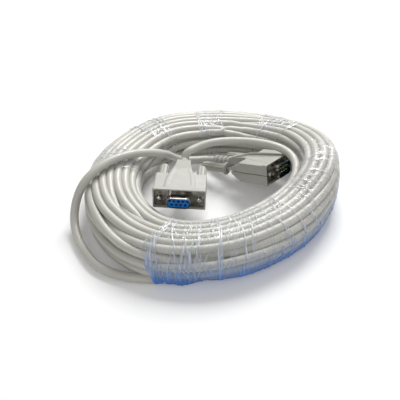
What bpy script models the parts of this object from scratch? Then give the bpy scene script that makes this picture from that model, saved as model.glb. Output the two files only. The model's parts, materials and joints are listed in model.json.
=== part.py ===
"""Serial extension cable: a long grey cable wound into a coil, held by clear film, with a nine-way
D-shaped socket connector on one end and the matching plug connector on the other.

The coil lies flat on the floor plane z = 0 with its axis along +Z. Both connectors lie in its open
middle. The socket connector faces -Y. All lengths are in metres.
"""

import math

import bmesh
import bpy
import numpy as np
from mathutils import Euler, Matrix, Vector

# Cable and coil
CORD_DIAMETER = 0.0055
TURNS = 35
PACKING = 0.84
AZIMUTH_STEP = 30.0
OUTER_RADII = (0.0850, 0.0905, 0.0905, 0.0870, 0.0830, 0.0815, 0.0825, 0.0860, 0.0885, 0.0835, 0.0790, 0.0805)
INNER_RADII = (0.0600, 0.0595, 0.0495, 0.0445, 0.0450, 0.0435, 0.0465, 0.0480, 0.0470, 0.0430, 0.0410, 0.0455)
COIL_STEPS = 72
SECTION_STEPS = 24
TOP_FULLNESS = 2.3
FOOT_FULLNESS = 6.0
FOOT_FLATNESS = 1.03
COIL_CENTRE = (0.0013, -0.0015)

# Film bands: first and last azimuth, in degrees
FILM_THICKNESS = 0.0003
FILM_BANDS = {
    "film_band_front": (245.0, 300.0),
    "film_band_front_right": (303.0, 335.0),
    "film_band_right": (340.0, 375.0),
    "film_band_back_right": (35.0, 60.0),
    "film_band_back": (80.0, 100.0),
    "film_band_back_left": (120.0, 140.0),
    "film_band_left": (160.0, 185.0),
}

# Fits
CLEARANCE = 0.0003
OVERCUT = 0.0020
WELD = 1e-6

# Connector interface, nine-way D shape
FLANGE_WIDTH = 0.0308
FLANGE_HEIGHT = 0.0125
FLANGE_THICKNESS = 0.0006
FLANGE_CORNER = 0.0012
SCREW_SPACING = 0.0250
SHELL_WALL = 0.0004
SHELL_REACH = 0.0059
SHELL_SLANT = math.radians(10.0)
SHELL_CORNER = 0.0026
CONTACT_PITCH = 0.00277
ROW_SPACING = 0.00284
TOP_ROW = 5
BOTTOM_ROW = 4
TOP_ROW_WIDTH = (TOP_ROW - 1) * CONTACT_PITCH
SOCKET_SHELL_WIDTH = TOP_ROW_WIDTH + 2 * 0.00261
SOCKET_SHELL_HEIGHT = ROW_SPACING + 2 * 0.00253
PLUG_SHELL_WIDTH = TOP_ROW_WIDTH + 2 * 0.00331
PLUG_SHELL_HEIGHT = ROW_SPACING + 2 * 0.00318
REAR_SHELL_DEPTH = 0.0045
INSULATOR_DEPTH = 0.0090
PIN_RADIUS = 0.0005
BARREL_RADIUS = 0.00075
BARREL_BORE = 0.00052
CUP_RADIUS = 0.0008
CUP_BORE = 0.00055
CUP_LENGTH = 0.0035
CUP_BORE_DEPTH = 0.0014
BARREL_BORE_DEPTH = 0.0060
CONTACT_INSET = 0.0008
INSULATOR_INSET = 0.0004
PIN_NOSE = 0.0006
PIN_TIP_RADIUS = 0.0003

# Hood
HOOD_RIM = 0.0010
HOOD_COVER = 0.0009
FLANGE_LEDGE = 0.0004
HOOD_WIDTH = FLANGE_WIDTH + 2 * (CLEARANCE + HOOD_RIM)
HOOD_HEIGHT = FLANGE_HEIGHT + 2 * (CLEARANCE + HOOD_COVER)
HOOD_WALL = 0.0014
HOOD_SOFTNESS = 0.0005
COLLAR_DEPTH = 0.0030
EAR_DROP = 0.0006
EAR_STEP = 0.0002
BODY_STEP = 0.0002
FLANGE_INSET = 0.0018
CAVITY_END = 0.0115
HOOD_LENGTH = 0.0380
NECK_HALF_WIDTH = 0.0047
NECK_SOLID = 0.0065
BODY_FRONT = 0.0010
BODY_OUTLINE = ((BODY_FRONT, 0.0096), (0.0125, 0.0090), (0.0185, 0.0077), (0.0245, 0.0061), (0.0310, 0.0051))
BODY_SIDE_FULL = 0.0240
NOSE_HALF_WIDTH = 0.0027
NOSE_HALF_HEIGHT = 0.0024
PANEL_DEPTH = 0.00035
PANEL_OUTLINE = ((0.0060, 0.0072), (0.0165, 0.0060), (0.0235, 0.0042))

# Thumbscrews
SCREW_RADIUS = 0.0014
SCREW_BORE = SCREW_RADIUS + CLEARANCE
SCREW_CHAMFER = 0.0005
SCREW_TIP_RADIUS = 0.6 * SCREW_RADIUS
KNOB_RADIUS = 0.0032
KNOB_BORE_DEPTH = 0.0060
KNOB_SEAT_GAP = 0.0005
KNOB_EDGE = 0.0004
KNOB_CHAMFER = 0.0005
KNOB_FLUTES = 12
FLUTE_DEPTH = 0.00025
RIM_WIDTH = 0.0017
KNOB_END = ((0.0026, 1.0), (0.0012, 0.88), (0.0003, 0.60), (0.0, 0.35))

# Cable entry
JACKET_END = 0.0245
CORE_RADIUS = 0.0019
CORE_LENGTH = 0.0030
WIRE_RADIUS = 0.00042
WIRE_RING = CORE_RADIUS - WIRE_RADIUS - 0.00008
WIRE_ROOT = 0.0010
WIRE_LEAD = 0.35
WIRE_STEPS = 8
CLAMP_SETBACK = 0.0006
CLAMP_LENGTH = 0.0035
CLAMP_WALL = 0.0006
BOOT_SLEEVE = 0.0035
SLEEVE_LENGTH = 0.0050
BOOT_STEP = 0.0003
BOOT_LIP = 0.0002
RIB_GROOVE = 0.0007
RIB_SHARE = 0.62

# Socket connector: ear, knob and boot sizes, and where the middle of its front rim lies
SOCKET = {
    "name": "female",
    "place": (-0.0198, -0.0303, 0.0215),
    "turn": (-2.0, -1.5, -92.6),
    "shell": (SOCKET_SHELL_WIDTH, SOCKET_SHELL_HEIGHT),
    "ear_end": 0.0190,
    "nose_length": 0.0,
    "knob_start": 0.0145,
    "knob_length": 0.0215,
    "far_knob_start": 0.0145,
    "rim_radius": 0.0,
    "screw_reach": 0.0022,
    "boot_length": 0.0030,
    "boot_end_radius": 0.0031,
    "boot_ribs": 0,
}
# Plug connector
PLUG = {
    "name": "male",
    "place": (0.0462, 0.0036, 0.0208),
    "turn": (-11.0, -14.8, -34.2),
    "shell": (PLUG_SHELL_WIDTH, PLUG_SHELL_HEIGHT),
    "ear_end": 0.0220,
    "nose_length": 0.0070,
    "knob_start": 0.0340,
    "knob_length": 0.0215,
    "far_knob_start": 0.0300,
    "rim_radius": 0.0043,
    "screw_reach": 0.0026,
    "boot_length": 0.0150,
    "boot_end_radius": 0.0032,
    "boot_ribs": 4,
}
SPLIT_GAP = CLEARANCE

# Free cable between the coil and each connector, after it leaves the boot
FEMALE_ROUTE = (
    (-0.0165, 0.0175, 0.0240),
    (-0.0110, 0.0215, 0.0250),
    (-0.0040, 0.0250, 0.0260),
    (0.0040, 0.0272, 0.0266),
    (0.0135, 0.0280, 0.0270),
    (0.0240, 0.0268, 0.0275),
    (0.0330, 0.0240, 0.0282),
    (0.0410, 0.0205, 0.0290),
    (0.0490, 0.0165, 0.0302),
    (0.0592, 0.0099, 0.0302),
)
MALE_ROUTE = (
    (-0.0045, 0.0356, 0.0058),
    (-0.0115, 0.0345, 0.0062),
    (-0.0180, 0.0318, 0.0080),
    (-0.0242, 0.0278, 0.0120),
    (-0.0305, 0.0240, 0.0180),
    (-0.0362, 0.0186, 0.0232),
    (-0.0430, 0.0138, 0.0268),
    (-0.0508, 0.0088, 0.0295),
    (-0.0593, 0.0022, 0.0314),
    (-0.0670, -0.0045, 0.0317),
    (-0.0745, -0.0122, 0.0300),
    (-0.0806, -0.0187, 0.0256),
    (-0.0846, -0.0238, 0.0188),
    (-0.0866, -0.0290, 0.0115),
    (-0.0862, -0.0352, 0.0066),
    (-0.0838, -0.0430, 0.0042),
    (-0.0790, -0.0528, 0.0034),
    (-0.0700, -0.0658, 0.0032),
    (-0.0600, -0.0747, 0.0032),
    (-0.0505, -0.0797, 0.0032),
    (-0.0421, -0.0823, 0.0032),
)
CORD_POINT_SPACING = 2.4 * CORD_DIAMETER
CORD_RESOLUTION = 3
CURVE_STEPS = 24

GREY_PVC = ((0.60, 0.59, 0.55), 0.42, 0.0)
FILM_CLEAR = ((0.80, 0.84, 0.90), 0.08, 0.0)
NICKEL = ((0.62, 0.62, 0.60), 0.25, 1.0)
BLUE_PLASTIC = ((0.01, 0.16, 0.45), 0.40, 0.0)
GOLD = ((0.83, 0.69, 0.36), 0.25, 1.0)
STEEL = ((0.55, 0.56, 0.57), 0.30, 1.0)
WIRE_PLASTIC = ((0.35, 0.28, 0.22), 0.50, 0.0)


def new_collection(name):
    """Adds a collection to the scene."""
    collection = bpy.data.collections.new(name)
    bpy.context.scene.collection.children.link(collection)
    return collection


def material(name, finish):
    """Makes a Principled material from a colour, a roughness and a metallic value."""
    colour, roughness, metallic = finish
    made = bpy.data.materials.new(name)
    made.use_nodes = True
    shader = made.node_tree.nodes["Principled BSDF"]
    shader.inputs["Base Color"].default_value = (*colour, 1.0)
    shader.inputs["Roughness"].default_value = roughness
    shader.inputs["Metallic"].default_value = metallic
    made.diffuse_color = (*colour, 1.0)
    return made


def add_object(name, mesh, collection, parent, finish=None):
    """Puts a mesh in the scene as a named object."""
    made = bpy.data.objects.new(name, mesh)
    collection.objects.link(made)
    made.parent = parent
    if finish:
        mesh.materials.clear()
        mesh.materials.append(material(name, finish))
        mesh.shade_smooth()
        mesh.set_sharp_from_angle(angle=math.radians(35.0))
    return made


def mesh_from(bm, name):
    """Turns a bmesh into mesh data with outward faces."""
    bmesh.ops.recalc_face_normals(bm, faces=bm.faces)
    mesh = bpy.data.meshes.new(name)
    bm.to_mesh(mesh)
    bm.free()
    return mesh


def curve_mesh(curve, name):
    """Evaluates a curve and returns its mesh with the caps welded on."""
    holder = bpy.data.objects.new(name, curve)
    bpy.context.scene.collection.objects.link(holder)
    graph = bpy.context.evaluated_depsgraph_get()
    mesh = bpy.data.meshes.new_from_object(holder.evaluated_get(graph))
    bpy.data.objects.remove(holder)
    bm = bmesh.new()
    bm.from_mesh(mesh)
    bmesh.ops.remove_doubles(bm, verts=bm.verts, dist=WELD)
    bpy.data.meshes.remove(mesh)
    return mesh_from(bm, name)


def prism(name, outlines, low, high, axis="X"):
    """Extrudes flat outlines, the later ones being holes, from low to high along X or Z."""
    curve = bpy.data.curves.new(name, "CURVE")
    curve.dimensions = "2D"
    curve.fill_mode = "BOTH"
    curve.extrude = (high - low) / 2
    for outline in outlines:
        spline = curve.splines.new("POLY")
        spline.points.add(len(outline) - 1)
        for point, (across, along) in zip(spline.points, outline):
            point.co = (across, along, 0.0, 1.0)
        spline.use_cyclic_u = True
    mesh = curve_mesh(curve, name)
    bpy.data.curves.remove(curve)
    if axis == "X":
        mesh.transform(Matrix(((0, 0, 1, 0), (1, 0, 0, 0), (0, 1, 0, 0), (0, 0, 0, 1))))
        mesh.transform(Matrix.Translation(((low + high) / 2, 0, 0)))
    else:
        mesh.transform(Matrix.Translation((0, 0, (low + high) / 2)))
    return mesh


def block(name, low, high, softness=0.0):
    """A box between two corners, with its edges rounded by softness."""
    bm = bmesh.new()
    bmesh.ops.create_cube(bm, size=1.0)
    size = Vector(high) - Vector(low)
    middle = (Vector(high) + Vector(low)) / 2
    bmesh.ops.scale(bm, vec=size, verts=bm.verts)
    bmesh.ops.translate(bm, vec=middle, verts=bm.verts)
    if softness:
        bmesh.ops.bevel(bm, geom=bm.edges[:], offset=softness, segments=2, profile=0.5, affect="EDGES")
    return mesh_from(bm, name)


def rod(name, radius, start, end, place=(0.0, 0.0), sides=24, end_radius=None):
    """A round rod along X from start to end, at a place across and up."""
    bm = bmesh.new()
    length = end - start
    turned = Matrix.Rotation(math.radians(90.0), 4, "Y")
    moved = Matrix.Translation(((start + end) / 2, *place))
    last = radius if end_radius is None else end_radius
    bmesh.ops.create_cone(
        bm, cap_ends=True, segments=sides, radius1=radius, radius2=last, depth=length, matrix=moved @ turned
    )
    return mesh_from(bm, name)


def turned(name, profile, place=(0.0, 0.0), sides=16):
    """A closed profile of (along, radius) points turned about an axis parallel to X."""
    bm = bmesh.new()
    corners = [bm.verts.new((along, 0.0, radius)) for along, radius in profile]
    edges = [bm.edges.new((a, b)) for a, b in zip(corners, corners[1:])]
    if profile[0][1] > 0.0:
        edges.append(bm.edges.new((corners[-1], corners[0])))
    bmesh.ops.spin(bm, geom=corners + edges, axis=(1, 0, 0), angle=2 * math.pi, steps=sides, use_merge=True)
    bmesh.ops.remove_doubles(bm, verts=bm.verts, dist=WELD)
    bmesh.ops.translate(bm, vec=(0.0, *place), verts=bm.verts)
    return mesh_from(bm, name)


def rounded_box(width, height, corner, steps=4):
    """Outline of a rectangle with round corners, middle at the origin."""
    points = []
    for quarter, (sx, sy) in enumerate(((1, 1), (-1, 1), (-1, -1), (1, -1))):
        for step in range(steps + 1):
            angle = math.radians(90.0 * (quarter + step / steps))
            across = sx * (width / 2 - corner) + corner * math.cos(angle)
            up = sy * (height / 2 - corner) + corner * math.sin(angle)
            points.append((across, up))
    return points


def d_outline(width, height, corner, steps=4):
    """Outline of the D shape: the top is the wide side and the sides lean in by the slant."""
    top = width / 2
    bottom = top - height * math.tan(SHELL_SLANT)
    points = []
    lean = math.degrees(SHELL_SLANT)
    reach_up = corner * math.tan(math.radians(45.0 + lean / 2))
    reach_down = corner * math.tan(math.radians(45.0 - lean / 2))
    arcs = (
        (top - reach_up, height / 2 - corner, -lean, 90.0),
        (-(top - reach_up), height / 2 - corner, 90.0, 180.0 + lean),
        (-(bottom - reach_down), -height / 2 + corner, 180.0 + lean, 270.0),
        (bottom - reach_down, -height / 2 + corner, 270.0, 360.0 - lean),
    )
    for across, up, first, last in arcs:
        for step in range(steps + 1):
            angle = math.radians(first + (last - first) * step / steps)
            points.append((across + corner * math.cos(angle), up + corner * math.sin(angle)))
    return points


def circle(radius, place, sides=24):
    """Outline of a circle."""
    angles = [2 * math.pi * step / sides for step in range(sides)]
    return [(place[0] + radius * math.cos(a), place[1] + radius * math.sin(a)) for a in angles]


class Workshop:
    """Adds the pieces of one assembly, and joins and cuts them."""

    def __init__(self, prefix, parent, parts, cutters):
        self.prefix = prefix
        self.parent = parent
        self.parts = parts
        self.cutters = cutters

    def piece(self, name, mesh, finish):
        return add_object(f"{self.prefix}_{name}", mesh, self.parts, self.parent, finish)

    def boolean(self, target, mesh, operation):
        helper = add_object(f"{target.name}_{mesh.name}", mesh, self.cutters, self.parent)
        helper.hide_render = True
        helper.display_type = "WIRE"
        modifier = target.modifiers.new(mesh.name, "BOOLEAN")
        modifier.operation = operation
        modifier.object = helper
        return helper

    def join(self, target, mesh):
        self.boolean(target, mesh, "UNION")

    def cut(self, target, mesh):
        self.boolean(target, mesh, "DIFFERENCE")

    def keep_within(self, target, mesh):
        self.boolean(target, mesh, "INTERSECT")


def contact_places():
    """Where the nine contacts stand, across and up: five on top, four below."""
    places = []
    for count, up in ((TOP_ROW, ROW_SPACING / 2), (BOTTOM_ROW, -ROW_SPACING / 2)):
        for index in range(count):
            places.append(((index - (count - 1) / 2) * CONTACT_PITCH, up))
    return places


def hood_body_outline(inset=0.0, end=HOOD_LENGTH):
    """Plan of the hood's middle: wide at the flange and tapered to the neck."""
    right = [(-along, half - inset) for along, half in BODY_OUTLINE if along < end]
    right.append((-end, NECK_HALF_WIDTH - inset))
    return right + [(along, -half) for along, half in reversed(right)]


def hood_body_side(name, inset=0.0):
    """The hood's middle seen from the side: full height, then sloped down to the neck."""
    half = HOOD_HEIGHT / 2 - BODY_STEP - inset
    top = [(-BODY_FRONT, half), (-BODY_SIDE_FULL, half), (-HOOD_LENGTH, NECK_HALF_WIDTH - inset)]
    outline = top + [(along, -up) for along, up in reversed(top)]
    side = prism(name, [outline], -HOOD_WIDTH / 2, HOOD_WIDTH / 2, "Z")
    side.transform(Matrix.Rotation(math.radians(90.0), 4, "X"))
    return side


def ear_nose(name, side, spec):
    """The sloped end of an ear, where its thumbscrew comes out."""
    start = spec["ear_end"] - HOOD_SOFTNESS
    end = spec["ear_end"] + spec["nose_length"]
    middle = side * SCREW_SPACING / 2
    outer = HOOD_WIDTH / 2 - HOOD_SOFTNESS
    bm = bmesh.new()
    bmesh.ops.create_cube(bm, size=1.0)
    for corner in bm.verts:
        back = corner.co.x < 0
        half_width = NOSE_HALF_WIDTH if back else outer - abs(middle)
        half_height = NOSE_HALF_HEIGHT if back else HOOD_HEIGHT / 2 - EAR_DROP - HOOD_SOFTNESS
        corner.co.x = -end if back else -start
        corner.co.y = middle + math.copysign(half_width, corner.co.y)
        corner.co.z = math.copysign(half_height, corner.co.z)
    return mesh_from(bm, name)


def hood_solid(shop, spec, label):
    """The outside of the hood: collar, ears and middle."""
    half_width = HOOD_WIDTH / 2
    half_height = HOOD_HEIGHT / 2
    ear_height = half_height - EAR_DROP
    collar_low = (-COLLAR_DEPTH, -half_width, -half_height)
    collar = block("collar", collar_low, (0.0, half_width, half_height), HOOD_SOFTNESS)
    hood = shop.piece(f"hood_{label}", collar, GREY_PVC)
    ear_low = (-spec["ear_end"], -half_width + EAR_STEP, -ear_height)
    ear_high = (-BODY_FRONT, half_width - EAR_STEP, ear_height)
    shop.join(hood, block("ears", ear_low, ear_high, HOOD_SOFTNESS))
    middle = prism("middle", [hood_body_outline()], -half_height, half_height, "Z")
    shop.keep_within(shop.boolean(hood, middle, "UNION"), hood_body_side("side"))
    if spec["nose_length"]:
        for across in (-1, 1):
            shop.join(hood, ear_nose(f"nose_{across}", across, spec))
    return hood


def hollow_hood(shop, spec, hood):
    """Cuts the hood's inside, its flange slot and the bores of the cable, screws and knobs."""
    cavity_height = HOOD_HEIGHT / 2 - HOOD_WALL
    inner_outline = hood_body_outline(HOOD_WALL, HOOD_LENGTH - NECK_SOLID)
    inner = prism("inner", [inner_outline], -HOOD_HEIGHT / 2, HOOD_HEIGHT / 2, "Z")
    shop.keep_within(shop.boolean(hood, inner, "DIFFERENCE"), hood_body_side("inner_side", HOOD_WALL))
    slot = rounded_box(FLANGE_WIDTH + 2 * CLEARANCE, FLANGE_HEIGHT + 2 * CLEARANCE, FLANGE_CORNER)
    slot_end = FLANGE_INSET + 2 * FLANGE_THICKNESS + 2 * CLEARANCE
    cavity = rounded_box(HOOD_WIDTH - 2 * (HOOD_RIM + FLANGE_LEDGE), 2 * cavity_height, FLANGE_CORNER)
    shop.cut(hood, prism("cavity", [cavity], -CAVITY_END, -slot_end + FLANGE_LEDGE))
    shop.cut(hood, prism("flange_slot", [slot], -slot_end, OVERCUT))
    bore = rod("cable_bore", BOOT_SLEEVE + CLEARANCE, -HOOD_LENGTH - OVERCUT, -JACKET_END - CLEARANCE)
    shop.cut(hood, bore)
    ear_back = -spec["ear_end"] - spec["nose_length"] - OVERCUT
    for across in (-1, 1):
        place = (across * SCREW_SPACING / 2, 0.0)
        bore = rod(f"screw_bore_{across}", SCREW_BORE + CLEARANCE, ear_back, -CAVITY_END + OVERCUT, place)
        shop.cut(hood, bore)
        if spec["knob_start"] < spec["ear_end"]:
            seat = -spec["knob_start"] + KNOB_SEAT_GAP
            shop.cut(hood, rod(f"knob_bore_{across}", KNOB_RADIUS + CLEARANCE, ear_back, seat, place))


def build_hood(shop, spec):
    """The two halves of the hood, split level with the screws."""
    half_width = HOOD_WIDTH / 2
    half_height = HOOD_HEIGHT / 2
    for label, sign in (("upper", 1.0), ("lower", -1.0)):
        hood = hood_solid(shop, spec, label)
        hollow_hood(shop, spec, hood)
        if sign > 0:
            panel = [(-along, half) for along, half in PANEL_OUTLINE]
            panel += [(along, -half) for along, half in reversed(panel)]
            shop.cut(hood, prism("panel", [panel], half_height - PANEL_DEPTH, half_height + OVERCUT, "Z"))
        gap = sign * SPLIT_GAP / 2
        far = sign * (half_height + OVERCUT)
        low = (-HOOD_LENGTH - OVERCUT, -half_width - OVERCUT, min(gap, far))
        shop.keep_within(hood, block("half", low, (OVERCUT, half_width + OVERCUT, max(gap, far))))


def build_shells(shop, spec):
    """The plated steel front shell with its flange, and the rear shell behind it."""
    width, height = spec["shell"]
    front = -FLANGE_INSET
    back = front - FLANGE_THICKNESS
    hole_places = [(side * SCREW_SPACING / 2, 0.0) for side in (-1, 1)]
    holes = [circle(SCREW_BORE, place) for place in hole_places]
    plate = rounded_box(FLANGE_WIDTH, FLANGE_HEIGHT, FLANGE_CORNER)
    outer = d_outline(width, height, SHELL_CORNER)
    inner = d_outline(width - 2 * SHELL_WALL, height - 2 * SHELL_WALL, SHELL_CORNER - SHELL_WALL)
    seam = d_outline(width - SHELL_WALL, height - SHELL_WALL, SHELL_CORNER - SHELL_WALL / 2)
    shell = shop.piece("front_shell", prism("flange", [plate, seam, *holes], back, front), NICKEL)
    shop.join(shell, prism("d_tube", [outer, inner], back + FLANGE_THICKNESS / 6, front + SHELL_REACH))
    rear_front = back - CLEARANCE
    rear_back = rear_front - FLANGE_THICKNESS
    rear = shop.piece("rear_shell", prism("flange", [plate, seam, *holes], rear_back, rear_front), NICKEL)
    cup = prism("d_cup", [outer, inner], rear_front - REAR_SHELL_DEPTH, rear_front - FLANGE_THICKNESS / 6)
    shop.join(rear, cup)


def build_contacts(shop, spec):
    """The blue insulator and its nine contacts, each with a solder cup behind."""
    width, height = spec["shell"]
    fit = SHELL_WALL + CLEARANCE
    plug = spec is PLUG
    shell_front = SHELL_REACH - FLANGE_INSET
    front = -FLANGE_INSET + CLEARANCE if plug else shell_front - INSULATOR_INSET
    outline = d_outline(width - 2 * fit, height - 2 * fit, SHELL_CORNER - fit)
    hole_radius = (PIN_RADIUS if plug else BARREL_RADIUS) + CLEARANCE
    holes = [circle(hole_radius, place, 12) for place in contact_places()]
    shop.piece("insulator", prism("insulator", [outline, *holes], -INSULATOR_DEPTH, front), BLUE_PLASTIC)
    cup_start = -INSULATOR_DEPTH - CUP_LENGTH
    tip = shell_front - CONTACT_INSET
    cup = [(cup_start, CUP_BORE), (cup_start, CUP_RADIUS), (-INSULATOR_DEPTH - CLEARANCE, CUP_RADIUS)]
    if plug:
        shank = [(-INSULATOR_DEPTH - CLEARANCE, PIN_RADIUS), (tip - PIN_NOSE, PIN_RADIUS)]
        end = [(tip - PIN_NOSE / 3, PIN_TIP_RADIUS), (tip, 0.0)]
    else:
        shank = [(-INSULATOR_DEPTH - CLEARANCE, BARREL_RADIUS), (tip, BARREL_RADIUS)]
        bottom = tip - BARREL_BORE_DEPTH
        end = [(tip, BARREL_BORE), (bottom, BARREL_BORE), (bottom, 0.0)]
    floor = cup_start + CUP_BORE_DEPTH
    profile = [(floor, 0.0), (floor, CUP_BORE), *cup, *shank, *end]
    kind = "pin" if plug else "socket"
    for number, place in enumerate(contact_places(), 1):
        shop.piece(f"{kind}_{number}", turned(f"{kind}_{number}", profile, place, 10), GOLD)


def build_core(shop):
    """The nine wires, fanned from the end of the jacket to the solder cups, as one body."""
    jacket = -JACKET_END + CLEARANCE
    stem = jacket + CORE_LENGTH
    core = shop.piece("wires", rod("core", CORE_RADIUS, jacket, stem, sides=16), WIRE_PLASTIC)
    cups = -INSULATOR_DEPTH - CUP_LENGTH - CLEARANCE
    places = sorted(contact_places(), key=lambda place: math.atan2(place[1], place[0]))
    for number, (across, up) in enumerate(places):
        angle = 2 * math.pi * (number + 0.5) / len(places) - math.pi
        start = Vector((stem - WIRE_ROOT, WIRE_RING * math.cos(angle), WIRE_RING * math.sin(angle)))
        end = Vector((cups, across, up))
        lead = WIRE_LEAD * (cups - stem)
        handles = (start + Vector((lead, 0, 0)), end - Vector((lead, 0, 0)))
        points = [bezier(start, *handles, end, step / WIRE_STEPS) for step in range(WIRE_STEPS + 1)]
        shop.join(core, tube(f"wire_{number}", points, WIRE_RADIUS, 1))


def bezier(start, first, second, end, share):
    """A point on a cubic Bezier curve."""
    rest = 1 - share
    near = rest**3 * start + 3 * rest**2 * share * first
    return near + 3 * rest * share**2 * second + share**3 * end


def tube(name, points, radius, resolution):
    """A round tube with closed ends along points."""
    curve = bpy.data.curves.new(name, "CURVE")
    curve.dimensions = "3D"
    curve.bevel_depth = radius
    curve.bevel_resolution = resolution
    curve.use_fill_caps = True
    spline = curve.splines.new("POLY")
    spline.points.add(len(points) - 1)
    for point, place in zip(spline.points, points):
        point.co = (*place, 1.0)
    mesh = curve_mesh(curve, name)
    bpy.data.curves.remove(curve)
    return mesh


def build_boot(shop, spec):
    """The strain relief: a sleeve held in the hood's neck, then a tapered boot, ribbed if it has ribs."""
    bore = CORD_DIAMETER / 2 + CLEARANCE
    root = NECK_HALF_WIDTH - BOOT_STEP
    start = -HOOD_LENGTH - CLEARANCE
    end = start - spec["boot_length"]
    inside = -HOOD_LENGTH + SLEEVE_LENGTH
    profile = [(inside, bore), (inside, BOOT_SLEEVE), (start, BOOT_SLEEVE), (start, root)]
    ribs = spec["boot_ribs"]
    for index in range(ribs):
        pitch = spec["boot_length"] / ribs
        taper = (root - spec["boot_end_radius"] - RIB_GROOVE) / ribs
        radius = root - taper * index
        edge = start - index * pitch
        profile.append((edge - RIB_SHARE * pitch, radius))
        if index < ribs - 1:
            profile.append((edge - RIB_SHARE * pitch, radius - RIB_GROOVE))
            profile.append((edge - pitch, radius - RIB_GROOVE))
            profile.append((edge - pitch, radius - taper))
    profile += [(end, spec["boot_end_radius"] + BOOT_LIP), (end, bore)]
    shop.piece("boot", turned("boot", profile, sides=20), GREY_PVC)


def build_clamp(shop):
    """The metal ferrule crimped on the jacket inside the hood."""
    bore = CORD_DIAMETER / 2 + CLEARANCE
    start = -JACKET_END - CLAMP_SETBACK
    end = start - CLAMP_LENGTH
    profile = [(start, bore), (start, bore + CLAMP_WALL), (end, bore + CLAMP_WALL), (end, bore)]
    shop.piece("clamp", turned("clamp", profile, sides=20), STEEL)


def build_thumbscrews(shop, spec):
    """Both thumbscrews: a steel screw held in a moulded knob, each on its own axis."""
    for label, side in (("left", 1), ("right", -1)):
        across = side * SCREW_SPACING / 2
        start = spec["far_knob_start"] if label == "left" else spec["knob_start"]
        driven = max(spec["far_knob_start"], spec["knob_start"]) - start
        axle = bpy.data.objects.new(f"{shop.prefix}_thumbscrew_{label}_axis", None)
        shop.parts.objects.link(axle)
        axle.parent = shop.parent
        axle.location = (0.0, across, 0.0)
        turning = Workshop(f"{shop.prefix}_thumbscrew", axle, shop.parts, shop.cutters)
        knob = turning.piece(f"knob_{label}", knob_mesh(spec, start), GREY_PVC)
        bore_end = -start - KNOB_BORE_DEPTH
        turning.cut(knob, rod(f"bore_{label}", SCREW_BORE, bore_end, 0.0))
        tip = spec["screw_reach"] - FLANGE_INSET + driven
        seat = bore_end + CLEARANCE
        screw = [(seat, 0.0), (seat, SCREW_RADIUS), (tip - SCREW_CHAMFER, SCREW_RADIUS)]
        screw += [(tip, SCREW_TIP_RADIUS), (tip, 0.0)]
        turning.piece(f"screw_{label}", turned("screw", screw, sides=16), STEEL)


def knob_mesh(spec, start):
    """A fluted knob with a round end, and a flat rim where it meets the hood if it has one."""
    end = -start - spec["knob_length"]
    rim = spec["rim_radius"]
    back = -start - RIM_WIDTH
    bm = bmesh.new()
    stations = [(-start, KNOB_RADIUS - KNOB_EDGE), (-start - KNOB_CHAMFER, KNOB_RADIUS)]
    if rim:
        stations = [(-start, rim - KNOB_EDGE), (-start - KNOB_EDGE, rim), (back + KNOB_EDGE, rim)]
        stations += [(back, rim - KNOB_EDGE), (back - KNOB_EDGE / 4, KNOB_RADIUS)]
    stations += [(end + inset, share * KNOB_RADIUS) for inset, share in KNOB_END]
    sides = 2 * KNOB_FLUTES
    rings = []
    for along, radius in stations:
        ring = []
        for step in range(sides):
            fluted = radius == KNOB_RADIUS and step % 2
            reach = radius - FLUTE_DEPTH if fluted else radius
            angle = 2 * math.pi * step / sides
            ring.append(bm.verts.new((along, reach * math.cos(angle), reach * math.sin(angle))))
        rings.append(ring)
    for near, far in zip(rings, rings[1:]):
        for step in range(sides):
            after = (step + 1) % sides
            bm.faces.new((near[step], near[after], far[after], far[step]))
    bm.faces.new(rings[0])
    bm.faces.new(rings[-1])
    return mesh_from(bm, "knob")


def build_connector(spec, parts, cutters, place):
    """One connector about an empty at the middle of its front rim, with +X the mating direction."""
    frame = bpy.data.objects.new(f"{spec['name']}_frame", None)
    parts.objects.link(frame)
    frame.parent = place
    frame.location = spec["place"]
    frame.rotation_euler = Euler([math.radians(angle) for angle in spec["turn"]], "XYZ")
    shop = Workshop(spec["name"], frame, parts, cutters)
    build_hood(shop, spec)
    build_shells(shop, spec)
    build_contacts(shop, spec)
    build_core(shop)
    build_clamp(shop)
    build_boot(shop, spec)
    build_thumbscrews(shop, spec)
    return frame.location.copy(), frame.rotation_euler.to_matrix()


def radius_at(radii, azimuth):
    """Smooth closed curve of radius through the values given every AZIMUTH_STEP degrees."""
    count = len(radii)
    index, share = divmod(azimuth / AZIMUTH_STEP, 1.0)
    before, here, after, beyond = (radii[(int(index) + shift) % count] for shift in (-1, 0, 1, 2))
    slope = (after - before) / 2
    next_slope = (beyond - here) / 2
    rise = (2 * share**3 - 3 * share**2 + 1) * here + (share**3 - 2 * share**2 + share) * slope
    return rise + (3 * share**2 - 2 * share**3) * after + (share**3 - share**2) * next_slope


def section_shape():
    """The coil's section, across from -1 to 1 and up from 0 to 1: round on top and flat below."""
    shape = []
    for step in range(SECTION_STEPS):
        angle = 2 * math.pi * step / SECTION_STEPS
        upper = step <= SECTION_STEPS // 2
        power = 2 / (TOP_FULLNESS if upper else FOOT_FULLNESS)
        across = math.copysign(abs(math.cos(angle)) ** power, math.cos(angle))
        rise = abs(math.sin(angle)) ** power
        up = 0.5 + 0.5 * rise if upper else 0.5 - 0.5 * min(1.0, FOOT_FLATNESS * rise)
        shape.append((across, up))
    return shape


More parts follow.
